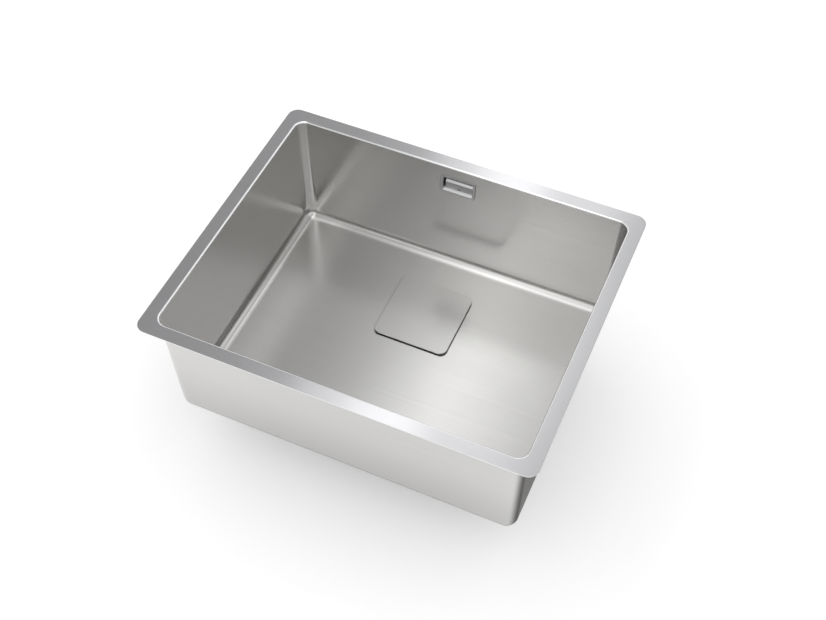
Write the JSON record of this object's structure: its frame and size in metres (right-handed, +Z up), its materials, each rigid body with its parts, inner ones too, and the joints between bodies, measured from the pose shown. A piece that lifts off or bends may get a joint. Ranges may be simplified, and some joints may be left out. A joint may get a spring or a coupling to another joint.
{
  "type": "undermount kitchen sink",
  "caption": "Rectangular stainless undermount bowl with a flat rim, basket strainer waste under a square drain cover, and a wall overflow piped to the waste.",
  "frame": {"origin": "centre of the rim's top face, which the worktop rests on", "axes": "+X along the sink, +Y towards the overflow wall, +Z up"},
  "size_m": [0.54, 0.4634, 0.2756],
  "materials": {
    "satin_steel": "satin, fine brushed",
    "cover_steel": "satin, fine brushed",
    "drawn_steel": "bright drawn",
    "overflow_steel": "satin",
    "polished_steel": "polished",
    "fastener_steel": "turned",
    "black_rubber": "matt moulded",
    "grey_foam": "closed-cell foam",
    "pad_rubber": "matt sheet",
    "brass": "turned",
    "white_plastic": "moulded, satin",
    "grey_plastic": "moulded, satin"
  },
  "bodies": {
    "sink": {"bowl": "satin_steel", "sound_pads": "pad_rubber", "waste_cup": "drawn_steel", "cup_seal": "grey_foam", "body_seal": "black_rubber", "valve_screw": "fastener_steel", "body_insert": "brass", "waste_body": "white_plastic", "overflow_frame": "overflow_steel", "overflow_seal": "black_rubber", "overflow_screws": "fastener_steel", "overflow_housing": "white_plastic", "overflow_pipe": "white_plastic", "upper_cone_seal": "black_rubber", "upper_nut": "grey_plastic", "lower_cone_seal": "black_rubber", "lower_nut": "grey_plastic"},
    "basket": {"strainer_basket": "drawn_steel", "basket_seal": "black_rubber", "stopper_spacer": "fastener_steel", "basket_post": "fastener_steel", "seal_washer": "fastener_steel", "post_nut": "fastener_steel", "basket_knob": "polished_steel"},
    "cover": {"drain_cover": "cover_steel", "cover_carrier": "grey_plastic"},
    "overflow_plate": {"overflow_plate": "overflow_steel"}
  },
  "joints": [
    {"name": "basket_lift", "type": "slide", "parent": "sink", "child": "basket", "axis": [0, 0, 1], "range_m": [0, 0.26]},
    {"name": "cover_lift", "type": "slide", "parent": "basket", "child": "cover", "axis": [0, 0, 1], "range_m": [0, 0.22]},
    {"name": "overflow_plate_pull", "type": "slide", "parent": "sink", "child": "overflow_plate", "axis": [0, -0.9997, 0.0253], "range_m": [0, 0.05]}
  ]
}
